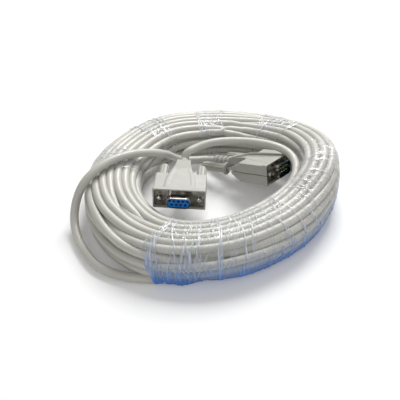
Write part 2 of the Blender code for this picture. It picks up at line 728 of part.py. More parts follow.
def coil_ring(azimuth, offset):
    """The section's corner points at one azimuth, moved outwards by offset."""
    outer = radius_at(OUTER_RADII, azimuth)
    inner = radius_at(INNER_RADII, azimuth)
    half = (outer - inner) / 2
    area = TURNS * math.pi * CORD_DIAMETER**2 / 4 / PACKING
    height = area / (outer - inner)
    floor = FILM_THICKNESS + CLEARANCE - offset
    turn = math.radians(azimuth)
    points = []
    for across, up in section_shape():
        radius = (outer + inner) / 2 + (half + offset) * across
        rise = floor + (height + 2 * offset) * up
        points.append((radius * math.cos(turn), radius * math.sin(turn), rise))
    return points


def loft(bm, rings, closed):
    """Joins rings of points with faces and returns the rings of corners."""
    made = [[bm.verts.new(point) for point in ring] for ring in rings]
    pairs = list(zip(made, made[1:]))
    if closed:
        pairs.append((made[-1], made[0]))
    for near, far in pairs:
        for step in range(len(near)):
            after = (step + 1) % len(near)
            bm.faces.new((near[step], near[after], far[after], far[step]))
    return made


def build_coil(parts, place):
    """The wound turns as one closed ring with the coil's outer shape."""
    azimuths = [360.0 * step / COIL_STEPS for step in range(COIL_STEPS)]
    bm = bmesh.new()
    loft(bm, [coil_ring(azimuth, 0.0) for azimuth in azimuths], closed=True)
    add_object("cable_coil", mesh_from(bm, "cable_coil"), parts, place, GREY_PVC)


def build_film(parts, place):
    """Each film band as a thin sleeve round the coil's section."""
    step = 360.0 / COIL_STEPS
    for name, (first, last) in FILM_BANDS.items():
        count = round((last - first) / step)
        azimuths = [first + step * index for index in range(count + 1)]
        bm = bmesh.new()
        lined = CLEARANCE + FILM_THICKNESS
        inside = loft(bm, [coil_ring(azimuth, CLEARANCE) for azimuth in azimuths], closed=False)
        outside = loft(bm, [coil_ring(azimuth, lined) for azimuth in azimuths], closed=False)
        for near, far in ((inside[0], outside[0]), (inside[-1], outside[-1])):
            for index in range(SECTION_STEPS):
                after = (index + 1) % SECTION_STEPS
                bm.faces.new((near[index], near[after], far[after], far[index]))
        add_object(name, mesh_from(bm, name), parts, place, FILM_CLEAR)


def smooth_route(points, spacing):
    """Even points along a smooth curve through route points."""
    route = np.array([tuple(point) for point in points])
    padded = np.vstack([2 * route[0] - route[1], route, 2 * route[-1] - route[-2]])
    fine = []
    for index in range(1, len(padded) - 2):
        before, here, after, beyond = padded[index - 1 : index + 3]
        for share in np.linspace(0.0, 1.0, CURVE_STEPS, endpoint=False):
            fine.append(
                0.5 * (2 * here + (after - before) * share
                       + (2 * before - 5 * here + 4 * after - beyond) * share**2
                       + (3 * here - before - 3 * after + beyond) * share**3)
            )
    fine.append(route[-1])
    fine = np.array(fine)
    walked = np.concatenate([[0.0], np.cumsum(np.linalg.norm(np.diff(fine, axis=0), axis=1))])
    count = max(2, round(walked[-1] / spacing))
    marks = np.linspace(0.0, walked[-1], count + 1)
    return np.stack([np.interp(marks, walked, fine[:, axis]) for axis in range(3)], axis=1)


def build_tail(name, frame, spec, route, parts, place):
    """The free cable from inside a hood, out of its boot and along its route to the coil."""
    location, turn = frame
    boot_end = HOOD_LENGTH + CLEARANCE + spec["boot_length"]
    straight = (JACKET_END, boot_end + CORD_DIAMETER / 2, boot_end + CORD_DIAMETER)
    jacket, leaving, beyond = (location + turn @ Vector((-along, 0.0, 0.0)) for along in straight)
    points = [jacket, *smooth_route([leaving, beyond, *route], CORD_POINT_SPACING)]
    add_object(name, tube(name, points, CORD_DIAMETER / 2, CORD_RESOLUTION), parts, place, GREY_PVC)


def main():
    """Clears the scene and builds the cable."""
    for old in list(bpy.data.objects):
        bpy.data.objects.remove(old)
    parts = new_collection("serial_extension_cable")
    cutters = new_collection("cutters")
    place = bpy.data.objects.new("coil_middle", None)
    parts.objects.link(place)
    place.location = (*COIL_CENTRE, 0.0)
    build_coil(parts, place)
    build_film(parts, place)
    female = build_connector(SOCKET, parts, cutters, place)
    male = build_connector(PLUG, parts, cutters, place)
    build_tail("cable_tail_female", female, SOCKET, FEMALE_ROUTE, parts, place)
    build_tail("cable_tail_male", male, PLUG, MALE_ROUTE, parts, place)


main()
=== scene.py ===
"""Looks of the serial extension cable: fifteen metres of grey cable wound in a flat coil, held by bands
of clear film, with a socket connector and a plug connector lying in its open middle.

All lengths are in metres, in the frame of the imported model.
"""

import json
import logging
import math
from dataclasses import dataclass, field
from enum import Enum

import bmesh
import bpy
import numpy as np
from mathutils import Matrix, Vector

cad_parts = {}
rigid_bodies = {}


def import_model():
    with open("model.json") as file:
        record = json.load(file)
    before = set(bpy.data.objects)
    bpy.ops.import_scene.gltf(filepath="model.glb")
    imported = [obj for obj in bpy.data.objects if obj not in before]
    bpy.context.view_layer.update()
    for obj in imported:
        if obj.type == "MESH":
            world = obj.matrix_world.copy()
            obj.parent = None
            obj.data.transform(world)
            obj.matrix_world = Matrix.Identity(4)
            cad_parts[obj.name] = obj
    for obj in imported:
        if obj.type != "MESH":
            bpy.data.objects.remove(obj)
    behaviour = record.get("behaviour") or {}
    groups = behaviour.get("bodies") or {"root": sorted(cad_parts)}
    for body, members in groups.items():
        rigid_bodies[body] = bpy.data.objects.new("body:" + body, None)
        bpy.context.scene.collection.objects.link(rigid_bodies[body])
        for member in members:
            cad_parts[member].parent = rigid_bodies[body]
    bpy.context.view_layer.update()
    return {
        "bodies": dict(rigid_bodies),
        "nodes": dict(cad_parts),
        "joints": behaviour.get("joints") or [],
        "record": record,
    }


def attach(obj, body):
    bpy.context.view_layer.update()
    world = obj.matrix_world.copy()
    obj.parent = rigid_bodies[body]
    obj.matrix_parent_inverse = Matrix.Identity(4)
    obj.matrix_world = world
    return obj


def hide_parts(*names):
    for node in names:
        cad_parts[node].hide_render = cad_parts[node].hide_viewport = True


LOG = logging.getLogger("serial_extension_cable")
Pair = tuple[float, float]
Triple = tuple[float, float, float]


class Side(Enum):
    """Which of a connector's two thumbscrews."""

    LEFT = "left"
    RIGHT = "right"


class Gender(Enum):
    """Which connector: the socket one or the plug one."""

    SOCKET = "female"
    PLUG = "male"


class Slot(Enum):
    """Names of material slots, which the pieces built here don't use."""

    JACKET = "cable_jacket"
    MOULDED = "moulded_grey"
    FILM = "clear_film"


# Shader helpers


class Shader:
    """A node material with one Principled shader, and short calls that add nodes to it."""

    def __init__(self, name: str) -> None:
        """Makes the empty material.

        Args:
            name: the material's name.
        """
        self.material = bpy.data.materials.new(name)
        self.material.use_nodes = True
        self.nodes = self.material.node_tree.nodes
        self.links = self.material.node_tree.links
        self.principled = self.nodes["Principled BSDF"]
        self.coordinates = self.nodes.new("ShaderNodeTexCoord").outputs["Object"]

    def set(self, **values: float | tuple) -> None:
        """Sets sockets of the Principled shader, named with underscores for spaces."""
        for name, value in values.items():
            self.principled.inputs[name.replace("_", " ")].default_value = value

    def feed(self, socket: str, output: bpy.types.NodeSocket) -> None:
        """Links an output to a socket of the Principled shader."""
        self.links.new(output, self.principled.inputs[socket])

    def noise(
        self, scale: float, detail: float = 2.0, stretch: Triple = (1.0, 1.0, 1.0)
    ) -> bpy.types.NodeSocket:
        """Adds a noise pattern on Object coordinates.

        Args:
            scale: spots per metre.
            detail: octaves.
            stretch: scale along X, Y and Z.

        Returns:
            The noise value's socket.
        """
        mapping = self.nodes.new("ShaderNodeMapping")
        mapping.inputs["Scale"].default_value = stretch
        self.links.new(self.coordinates, mapping.inputs["Vector"])
        node = self.nodes.new("ShaderNodeTexNoise")
        node.inputs["Scale"].default_value = scale
        node.inputs["Detail"].default_value = detail
        self.links.new(mapping.outputs["Vector"], node.inputs["Vector"])
        return node.outputs["Fac"]

    def ramp(self, source: bpy.types.NodeSocket, stops: list[tuple[float, tuple]]) -> bpy.types.NodeSocket:
        """Maps a value to colours.

        Args:
            source: the value.
            stops: position and RGB colour of each stop.

        Returns:
            The colour's socket.
        """
        node = self.nodes.new("ShaderNodeValToRGB")
        elements = node.color_ramp.elements
        for index, (position, colour) in enumerate(stops):
            element = elements[index] if index < 2 else elements.new(position)
            element.position = position
            element.color = (*colour, 1.0)
        self.links.new(source, node.inputs["Fac"])
        return node.outputs["Color"]

    def span(self, source: bpy.types.NodeSocket, start: Pair, end: Pair) -> bpy.types.NodeSocket:
        """Maps a value from one range to another, clamped.

        Args:
            source: the value.
            start: range that comes in.
            end: range that goes out.

        Returns:
            The mapped value's socket.
        """
        node = self.nodes.new("ShaderNodeMapRange")
        for name, value in zip(("From Min", "From Max", "To Min", "To Max"), (*start, *end)):
            node.inputs[name].default_value = value
        self.links.new(source, node.inputs["Value"])
        return node.outputs["Result"]

    def attribute(self, name: str) -> bpy.types.NodeSocket:
        """The value of one of the mesh's own attributes."""
        node = self.nodes.new("ShaderNodeAttribute")
        node.attribute_name = name
        return node.outputs["Fac"]

    def sum(self, first: bpy.types.NodeSocket, second: bpy.types.NodeSocket) -> bpy.types.NodeSocket:
        """Adds two values, no higher than 1."""
        node = self.nodes.new("ShaderNodeMath")
        node.operation = "ADD"
        node.use_clamp = True
        self.links.new(first, node.inputs[0])
        self.links.new(second, node.inputs[1])
        return node.outputs[0]

    def bump(self, height: bpy.types.NodeSocket, distance: float, strength: float = 1.0) -> None:
        """Bumps the surface by a height pattern.

        Args:
            height: the pattern.
            distance: depth of the bump in metres.
            strength: share of it that shows.
        """
        node = self.nodes.new("ShaderNodeBump")
        node.inputs["Distance"].default_value = distance
        node.inputs["Strength"].default_value = strength
        self.links.new(height, node.inputs["Height"])
        previous = self.principled.inputs["Normal"].links
        if previous:
            self.links.new(previous[0].from_socket, node.inputs["Normal"])
        self.feed("Normal", node.outputs["Normal"])


@dataclass(frozen=True)
class PlasticFinish:
    """Satin moulded or extruded plastic with faint mottling."""

    name: str
    light: Triple
    dark: Triple
    roughness: Pair
    grain: float
    grain_depth: float
    mottle: float = 90.0
    coat: float = 0.0

    def material(self) -> bpy.types.Material:
        """Returns the node material."""
        shader = Shader(self.name)
        blotches = shader.noise(self.mottle, 4.0)
        shader.feed("Base Color", shader.ramp(blotches, [(0.32, self.dark), (0.68, self.light)]))
        shader.feed("Roughness", shader.span(shader.noise(3 * self.mottle), (0.3, 0.7), self.roughness))
        shader.set(Specular_IOR_Level=0.5, IOR=1.5, Coat_Weight=self.coat)
        shader.bump(shader.noise(self.grain, 3.0), self.grain_depth, 0.6)
        return shader.material


@dataclass(frozen=True)
class MetalFinish:
    """Plated or drawn metal with fine draw marks, and spots of tarnish that also serve as painted
    reflections.
    """

    name: str
    bright: Triple
    tarnish_and_painted_reflection: Triple
    roughness: Pair
    scratches: float = 900.0
    depth: float = 0.00001

    def material(self) -> bpy.types.Material:
        """Returns the node material."""
        shader = Shader(self.name)
        # Dark and bright spots of the base colour: partly tarnish, partly painted reflections.
        spots = shader.noise(260.0, 5.0)
        shader.feed("Base Color", shader.ramp(spots, [(0.35, self.tarnish_and_painted_reflection), (0.62, self.bright)]))
        shader.feed("Roughness", shader.span(shader.noise(700.0, 3.0), (0.3, 0.7), self.roughness))
        shader.set(Metallic=1.0)
        shader.bump(shader.noise(self.scratches, 2.0, (1.0, 1.0, 6.0)), self.depth, 0.5)
        return shader.material


@dataclass(frozen=True)
class FilmFinish:
    """Clear stretch film: a thin glossy veil, whiter along its creases and wrinkles (partly whitish folds,
    partly painted glints), with a painted reflection of a blue backdrop low down and at grazing angles.
    """

    name: str
    veil: float
    crease: float
    clear: Triple = (0.66, 0.69, 0.72)
    # pale and low are colours of a painted reflection of a blue backdrop: pale at grazing angles, deep blue
    # on the low outer film.
    pale: Triple = (0.24, 0.36, 0.62)
    low: Triple = (0.012, 0.17, 0.62)
    wrinkle_depth: float = 0.0012

    def material(self) -> bpy.types.Material:
        """Returns the node material."""
        shader = Shader(self.name)
        low = shader.attribute("low")
        folds = shader.attribute("crease")
        streaks = shader.attribute("streak")
        edge = shader.nodes.new("ShaderNodeLayerWeight")
        edge.inputs["Blend"].default_value = 0.25
        # Share of painted blue backdrop reflection: the low outer film, plus grazing angles.
        tint = shader.sum(low, shader.span(edge.outputs["Facing"], (0.6, 1.0), (0.0, 0.45)))
        shader.feed("Base Color", shader.ramp(tint, [(0.05, self.clear), (0.5, self.pale), (1.0, self.low)]))
        # Whiter, more opaque film along creases and streaks: partly whitish folds, partly painted glints.
        white = shader.sum(shader.span(folds, (0.15, 0.8), (0.0, self.crease)), shader.span(
            streaks, (0.60, 0.92), (0.0, 0.42)))
        # Painted reflection: the film turns more opaque at grazing angles.
        rim = shader.span(edge.outputs["Facing"], (0.55, 1.0), (0.0, 0.30))
        # Painted reflection of a blue backdrop: the film turns nearly opaque blue low down on its outer
        # side.
        painted_blue_alpha = shader.span(low, (0.25, 1.0), (self.veil, 0.86))
        shader.feed("Alpha", shader.sum(shader.sum(white, rim), painted_blue_alpha))
        shader.set(Roughness=0.10, IOR=1.6, Specular_IOR_Level=0.9)
        shader.bump(streaks, self.wrinkle_depth, 0.5)
        return shader.material


class Wardrobe:
    """Every finish of the cable, each made once."""

    def __init__(self) -> None:
        """Makes the materials."""
        self.jacket = PlasticFinish(
            "jacket_pvc", (0.535, 0.526, 0.480), (0.490, 0.480, 0.434), (0.36, 0.50), 1600.0, 0.00003,
            mottle=55.0, coat=0.08
        ).material()
        self.hood = PlasticFinish(
            "hood_plastic", (0.405, 0.400, 0.366), (0.382, 0.376, 0.340), (0.42, 0.54), 4200.0, 0.00004, 70.0
        ).material()
        self.knob = PlasticFinish(
            "knob_plastic", (0.430, 0.422, 0.380), (0.400, 0.390, 0.345), (0.38, 0.50), 3600.0, 0.00003, 70.0
        ).material()
        self.insulator = PlasticFinish(
            "insulator_plastic", (0.002, 0.185, 0.600), (0.002, 0.150, 0.500), (0.30, 0.42), 3000.0, 0.00002,
            mottle=200.0
        ).material()
        # Lighter copy of the blue insulator for the plug, whose insulator sits deep in the shell: painted
        # light that offsets the shade there.
        self.painted_light_insulator = PlasticFinish(
            "deep_insulator_plastic", (0.02, 0.42, 0.72), (0.015, 0.36, 0.64), (0.30, 0.42), 3000.0, 0.00002,
            mottle=200.0
        ).material()
        self.wire = PlasticFinish(
            "wire_plastic", (0.45, 0.33, 0.22), (0.16, 0.13, 0.12), (0.45, 0.55), 2500.0, 0.00002, 500.0
        ).material()
        # Nickel: its dark and bright spots also stand in as painted reflections on the flange.
        self.plated = MetalFinish("nickel", (0.50, 0.48, 0.45), (0.20, 0.18, 0.16), (0.10, 0.22)).material()
        self.steel = MetalFinish("screw_steel", (0.8, 0.8, 0.79), (0.45, 0.44, 0.42), (0.1, 0.3)).material()
        self.gold = MetalFinish("contact_gold", (0.9, 0.76, 0.42), (0.78, 0.6, 0.28), (0.1, 0.3)).material()
        # Socket contacts: gold darkened as painted shade, standing for the shade inside the socket holes.
        self.socket = MetalFinish("painted_shade_socket_gold", (0.16, 0.12, 0.07), (0.05, 0.04, 0.03), (0.3, 0.5)).material()
        self.film = FilmFinish("stretch_film", 0.06, 0.75).material()


# Mesh helpers


def dress(piece: bpy.types.Object, material: bpy.types.Material) -> bpy.types.Object:
    """Gives an object one material and returns it."""
    piece.data.materials.clear()
    piece.data.materials.append(material)
    return piece


def object_from(name: str, points: np.ndarray, faces: list | np.ndarray) -> bpy.types.Object:
    """Makes a smooth mesh object.

    Args:
        name: the piece's name.
        points: corner positions.
        faces: corner indices of each face.

    Returns:
        The new object, in the scene.
    """
    mesh = bpy.data.meshes.new(name)
    mesh.from_pydata([tuple(point) for point in points], [], [tuple(face) for face in faces])
    mesh.validate()
    mesh.shade_smooth()
    piece = bpy.data.objects.new(name, mesh)
    bpy.context.scene.collection.objects.link(piece)
    return piece


def applied(piece: bpy.types.Object) -> bpy.types.Object:
    """Bakes an object's modifiers into its mesh and returns it."""
    graph = bpy.context.evaluated_depsgraph_get()
    mesh = bpy.data.meshes.new_from_object(piece.evaluated_get(graph))
    piece.modifiers.clear()
    old = piece.data
    piece.data = mesh
    mesh.name = piece.name
    if isinstance(old, bpy.types.Mesh):
        bpy.data.meshes.remove(old)
    return piece


def grid_faces(rows: int, columns: int) -> np.ndarray:
    """Quads of a grid whose columns wrap round."""
    row, column = np.meshgrid(np.arange(rows - 1), np.arange(columns), indexing="ij")
    after_row = row + 1
    after = (column + 1) % columns
    quads = np.stack([row * columns + column, row * columns + after, after_row * columns + after,
                      after_row * columns + column], axis=-1)
    return quads.reshape(-1, 4)


# The cable


@dataclass(frozen=True)
class Coil:
    """The coil's outer shape, as the model has it: radii every thirty degrees from azimuth 0."""

    centre: Pair = (0.0013, -0.0015)
    outer_radii: tuple = (
        0.0850, 0.0905, 0.0905, 0.0870, 0.0830, 0.0815, 0.0825, 0.0860, 0.0885, 0.0835, 0.0790, 0.0805
    )
    inner_radii: tuple = (
        0.0600, 0.0595, 0.0495, 0.0445, 0.0450, 0.0435, 0.0465, 0.0480, 0.0470, 0.0430, 0.0410, 0.0455
    )
    turns: int = 35
    packing: float = 0.84
    cord: float = 0.0055
    floor: float = 0.0006
    top_fullness: float = 2.3
    foot_fullness: float = 6.0

    @staticmethod
    def at(radii: tuple, azimuth: np.ndarray) -> np.ndarray:
        """Smooth closed curve of radius through the tabled values.

        Args:
            radii: values at even azimuths.
            azimuth: degrees.

        Returns:
            The radius at each azimuth.
        """
        table = np.array(radii)
        place = (np.asarray(azimuth, float) % 360.0) / 360.0 * len(table)
        index = np.floor(place).astype(int)
        share = place - index
        before, here, after, beyond = (table[(index + shift) % len(table)] for shift in (-1, 0, 1, 2))
        slope, next_slope = (after - before) / 2, (beyond - here) / 2
        start = (2 * share**3 - 3 * share**2 + 1) * here + (share**3 - 2 * share**2 + share) * slope
        return start + (3 * share**2 - 2 * share**3) * after + (share**3 - share**2) * next_slope

    def section(self, azimuth: np.ndarray) -> tuple[np.ndarray, np.ndarray, np.ndarray]:
        """Middle radius, half width and height of the coil's section at each azimuth."""
        outer = self.at(self.outer_radii, azimuth)
        inner = self.at(self.inner_radii, azimuth)
        area = self.turns * math.pi * self.cord**2 / 4 / self.packing
        return (outer + inner) / 2, (outer - inner) / 2, area / (outer - inner)


@dataclass
class Winding:
    """Lays one cord in the coil's section, turn by turn, and settles the turns against each other."""

    coil: Coil
    start_azimuth: float
    start_place: Pair
    end_azimuth: float
    end_place: Pair
    slices: int = 120
    seed: int = 11
    rounds: int = 420
    tightness: float = 1.005
    skin: float = 0.47
    wander: float = 0.75
    span: int = 5
    stiffness: float = 0.30
    sag: float = 0.0004
    points: np.ndarray = field(init=False)
    azimuths: np.ndarray = field(init=False)

    def __post_init__(self) -> None:
        """Works out how many points the turns take."""
        step = 360.0 / self.slices
        swept = (self.coil.turns - 1) * 360.0 + (self.start_azimuth - self.end_azimuth) % 360.0
        self.azimuths = self.start_azimuth - step * np.arange(round(swept / step) + 1)

    def slots(self, rng: np.random.Generator) -> np.ndarray:
        """Places of the turns in a section one wide and one high, in the order they are laid.

        Args:
            rng: source of the small irregularities.

        Returns:
            Across from -1 to 1 and up from -1 to 1, one row a turn.
        """
        rows = 5
        columns = self.coil.turns // rows
        places = []
        for row in range(rows):
            lane = np.linspace(-0.86, 0.86, columns) + (0.07 if row % 2 else -0.07)
            lane = lane if row % 2 == 0 else lane[::-1]
            for across in lane:
                places.append((across, 0.82 - 1.64 * row / (rows - 1)))
        return np.array(places) + rng.normal(0.0, 0.05, (len(places), 2))

    def wandering(self, rng: np.random.Generator, count: int) -> np.ndarray:
        """Slow random drift along the cord, in cord diameters, across and up."""
        drift = np.zeros((count, 2))
        along = np.arange(count) / self.slices
        for period in (1.9, 0.83, 0.47, 0.29):
            for axis in (0, 1):
                knots = rng.normal(0.0, 1.0, math.ceil(along[-1] / period) + 4)
                place = along / period + rng.uniform(0.0, 1.0)
                index = place.astype(int)
                share = place - index
                share = share * share * (3 - 2 * share)
                drift[:, axis] += (knots[index] * (1 - share) + knots[index + 1] * share) * min(1.0, period)
        return drift * self.wander * 0.5

    def settle(self) -> np.ndarray:
        """Relaxes the turns until none lies in another.

        Returns:
            Radius and height of every point of the cord.
        """
        rng = np.random.default_rng(self.seed)
        count = len(self.azimuths)
        middle, half, height = self.coil.section(self.azimuths)
        cord = self.coil.cord
        lap = np.arange(count) // self.slices
        share = (np.arange(count) % self.slices) / self.slices
        slots = self.slots(rng)
        turning = np.clip((share - rng.uniform(0.05, 0.55, self.coil.turns)[lap]) / 0.40, 0.0, 1.0)
        turning = turning * turning * (3 - 2 * turning)
        following = np.minimum(lap + 1, self.coil.turns - 1)
        wanted = slots[lap] * (1 - turning)[:, None] + slots[following] * turning[:, None]
        reach = np.stack([half - self.skin * cord, height / 2 - self.skin * cord], axis=1)
        centre = np.stack([middle, self.coil.floor + height / 2], axis=1)
        target = centre + wanted * reach + self.wandering(rng, count) * cord
        place = target.copy()
        ends = np.array([self.start_place, self.end_place])
        rows = self.coil.turns
        padded = np.full((rows * self.slices, 2), np.nan)
        spacing = self.tightness * cord
        lowest = self.coil.floor + cord / 2
        for step in range(self.rounds):
            progress = step / self.rounds
            pull = 0.10 * max(0.0, 1.0 - 2.2 * progress)
            place += pull * (target - place)
            place[:, 1] -= self.sag * cord
            padded[:count] = place
            lanes = padded.reshape(rows, self.slices, 2).transpose(1, 0, 2)
            gap = lanes[:, :, None, :] - lanes[:, None, :, :]
            apart = np.sqrt((gap**2).sum(-1)) + 1e-9
            wish = spacing * min(1.0, 0.55 + 0.75 * progress)
            push = np.where(apart < wish, (wish - apart) / apart, 0.0)
            push[:, np.arange(rows), np.arange(rows)] = 0.0
            push = np.nan_to_num(push)
            moved = np.nansum(gap * push[..., None], axis=2) * 0.42
            place += moved.transpose(1, 0, 2).reshape(-1, 2)[:count]
            self.contain(place, centre, reach)
            ease = 0.45 if progress < 0.8 else 0.22
            place[1:-1] += ease * ((place[:-2] + place[2:]) / 2 - place[1:-1])
            bent = place - centre
            far = self.span
            place[far:-far] += self.stiffness * ((bent[:-2 * far] + bent[2 * far:]) / 2 - bent[far:-far])
            place[:, 1] = np.maximum(place[:, 1], lowest)
            place[0], place[-1] = ends
        return place

    def contain(self, place: np.ndarray, centre: np.ndarray, reach: np.ndarray) -> None:
        """Moves points that are outside the section back to its edge, apart from the ends' runs in and out.

        Args:
            place: radius and height of each point, changed in place.
            centre: middle of the section at each point.
            reach: half width and half height that a cord's middle may take.
        """
        unit = (place - centre) / reach
        power = np.where(unit[:, 1] > 0.0, self.coil.top_fullness, self.coil.foot_fullness)
        size = (np.abs(unit[:, 0]) ** power + np.abs(unit[:, 1]) ** power) ** (1 / power)
        free = np.ones(len(place))
        run = self.slices // 6
        free[:run] = np.linspace(0.0, 1.0, run)
        free[-run:] = np.linspace(1.0, 0.0, run)
        shrink = np.where(size > 1.0, 1.0 + free * (1.0 / np.maximum(size, 1e-9) - 1.0), 1.0)
        place[:] = centre + unit * shrink[:, None] * reach

    def build(self) -> np.ndarray:
        """Returns the turns' points in space."""
        place = self.settle()
        self.points = place
        turn = np.radians(self.azimuths)
        return np.stack([self.coil.centre[0] + place[:, 0] * np.cos(turn),
                         self.coil.centre[1] + place[:, 0] * np.sin(turn), place[:, 1]], axis=1)

    def slice_at(self, azimuth: float) -> np.ndarray:
        """Radius and height of every turn where it crosses an azimuth, between 0 and 360 degrees."""
        step = 360.0 / self.slices
        first = (self.start_azimuth - azimuth) % 360.0 / step
        index = first + self.slices * np.arange(self.coil.turns)
        index = index[index <= len(self.points) - 1]
        low = np.floor(index).astype(int)
        high = np.minimum(low + 1, len(self.points) - 1)
        share = (index - low)[:, None]
        return self.points[low] * (1 - share) + self.points[high] * share


def smooth_route(points: list, spacing: float) -> np.ndarray:
    """Even points along a smooth curve through route points.

    Args:
        points: the route points.
        spacing: distance between the points returned.

    Returns:
        The points, one row each.
    """
    route = np.array([tuple(point) for point in points])
    padded = np.vstack([2 * route[0] - route[1], route, 2 * route[-1] - route[-2]])
    fine = []
    for index in range(1, len(padded) - 2):
        before, here, after, beyond = padded[index - 1 : index + 3]
        for share in np.linspace(0.0, 1.0, 24, endpoint=False):
            fine.append(
                0.5 * (2 * here + (after - before) * share
                       + (2 * before - 5 * here + 4 * after - beyond) * share**2
                       + (3 * here - before - 3 * after + beyond) * share**3)
            )
    fine = np.array([*fine, route[-1]])
    walked = np.concatenate([[0.0], np.cumsum(np.linalg.norm(np.diff(fine, axis=0), axis=1))])
    marks = np.linspace(0.0, walked[-1], max(2, round(walked[-1] / spacing)) + 1)
    return np.stack([np.interp(marks, walked, fine[:, axis]) for axis in range(3)], axis=1)


FEMALE_ROUTE = (
    (-0.0165, 0.0175, 0.0240),
    (-0.0110, 0.0215, 0.0250),
    (-0.0040, 0.0250, 0.0260),
    (0.0040, 0.0272, 0.0266),
    (0.0135, 0.0280, 0.0270),
    (0.0240, 0.0268, 0.0275),
    (0.0330, 0.0240, 0.0282),
    (0.0410, 0.0205, 0.0290),
    (0.0490, 0.0165, 0.0302),
    (0.0592, 0.0099, 0.0302),
)
MALE_ROUTE = (
    (-0.0045, 0.0356, 0.0058),
    (-0.0115, 0.0345, 0.0062),
    (-0.0180, 0.0318, 0.0080),
    (-0.0242, 0.0278, 0.0120),
    (-0.0305, 0.0240, 0.0180),
    (-0.0362, 0.0186, 0.0232),
    (-0.0430, 0.0138, 0.0268),
    (-0.0508, 0.0088, 0.0295),
    (-0.0593, 0.0022, 0.0314),
    (-0.0670, -0.0045, 0.0317),
    (-0.0745, -0.0122, 0.0300),
    (-0.0806, -0.0187, 0.0256),
    (-0.0846, -0.0238, 0.0188),
    (-0.0866, -0.0290, 0.0115),
    (-0.0862, -0.0352, 0.0066),
    (-0.0838, -0.0430, 0.0042),
    (-0.0790, -0.0528, 0.0034),
    (-0.0700, -0.0658, 0.0032),
    (-0.0600, -0.0747, 0.0032),
    (-0.0505, -0.0797, 0.0032),
    (-0.0421, -0.0823, 0.0032),
)


@dataclass(frozen=True)
class ConnectorFrame:
    """Where a connector lies: the middle of its front rim and its three directions."""

    gender: Gender
    matrix: Matrix

    @classmethod
    def found(cls, gender: Gender, joints: list[dict]) -> "ConnectorFrame":
        """Finds a connector by its two thumbscrews' axes.

        Args:
            gender: which connector.
            joints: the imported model's joints.

        Returns:
            Its frame: +X the mating direction, +Y left and +Z up.
        """
        own = {joint["name"]: joint for joint in joints}
        left = own[f"{gender.value}_thumbscrew_{Side.LEFT.value}_turn"]
        right = own[f"{gender.value}_thumbscrew_{Side.RIGHT.value}_turn"]
        ahead = Vector(left["axis"]).normalized()
        across = (Vector(left["pos_m"]) - Vector(right["pos_m"])).normalized()
        up = ahead.cross(across)
        turn = Matrix((ahead, across, up)).transposed().to_4x4()
        middle = (Vector(left["pos_m"]) + Vector(right["pos_m"])) / 2
        return cls(gender, Matrix.Translation(middle) @ turn)

    def point(self, along: float, across: float = 0.0, up: float = 0.0) -> Vector:
        """A point of the connector's own frame, in the model's frame."""
        return self.matrix @ Vector((along, across, up))

    def body(self, side: Side) -> str:
        """The name of a thumbscrew's body."""
        return f"{self.gender.value}_thumbscrew_{side.value}"


class CordTree:
    """Geometry Nodes that sweep a round section along a line."""

    def __init__(self, material: bpy.types.Material) -> None:
        """Builds the tree.

        Args:
            material: the cord's material.
        """
        self.tree = bpy.data.node_groups.new("cord_sweep", "GeometryNodeTree")
        face = self.tree.interface
        face.new_socket("Geometry", in_out="INPUT", socket_type="NodeSocketGeometry")
        self.radius = face.new_socket("Radius", in_out="INPUT", socket_type="NodeSocketFloat")
        self.sides = face.new_socket("Sides", in_out="INPUT", socket_type="NodeSocketInt")
        face.new_socket("Geometry", in_out="OUTPUT", socket_type="NodeSocketGeometry")
        nodes, links = self.tree.nodes, self.tree.links
        start = nodes.new("NodeGroupInput")
        end = nodes.new("NodeGroupOutput")
        circle = nodes.new("GeometryNodeCurvePrimitiveCircle")
        curve = nodes.new("GeometryNodeMeshToCurve")
        sweep = nodes.new("GeometryNodeCurveToMesh")
        smooth = nodes.new("GeometryNodeSetShadeSmooth")
        realize = nodes.new("GeometryNodeRealizeInstances")
        paint = nodes.new("GeometryNodeSetMaterial")
        sweep.inputs["Fill Caps"].default_value = True
        paint.inputs["Material"].default_value = material
        links.new(start.outputs["Geometry"], curve.inputs["Mesh"])
        links.new(start.outputs["Radius"], circle.inputs["Radius"])
        links.new(start.outputs["Sides"], circle.inputs["Resolution"])
        links.new(curve.outputs["Curve"], sweep.inputs["Curve"])
        links.new(circle.outputs["Curve"], sweep.inputs["Profile Curve"])
        links.new(sweep.outputs["Mesh"], smooth.inputs["Geometry"])
        links.new(smooth.outputs["Geometry"], realize.inputs["Geometry"])
        links.new(realize.outputs["Geometry"], paint.inputs["Geometry"])
        links.new(paint.outputs["Geometry"], end.inputs["Geometry"])

    def sweep(self, name: str, path: np.ndarray, radius: float, sides: int) -> bpy.types.Object:
        """Makes a round tube along a path.

        Args:
            name: the piece's name.
            path: the points of its centreline.
            radius: the tube's radius.
            sides: corners of its section.

        Returns:
            The tube as a plain mesh.
        """
        mesh = bpy.data.meshes.new(name)
        edges = [(index, index + 1) for index in range(len(path) - 1)]
        mesh.from_pydata([tuple(point) for point in path], edges, [])
        piece = bpy.data.objects.new(name, mesh)
        bpy.context.scene.collection.objects.link(piece)
        modifier = piece.modifiers.new("sweep", "NODES")
        modifier.node_group = self.tree
        modifier[self.radius.identifier] = radius
        modifier[self.sides.identifier] = sides
        return applied(piece)


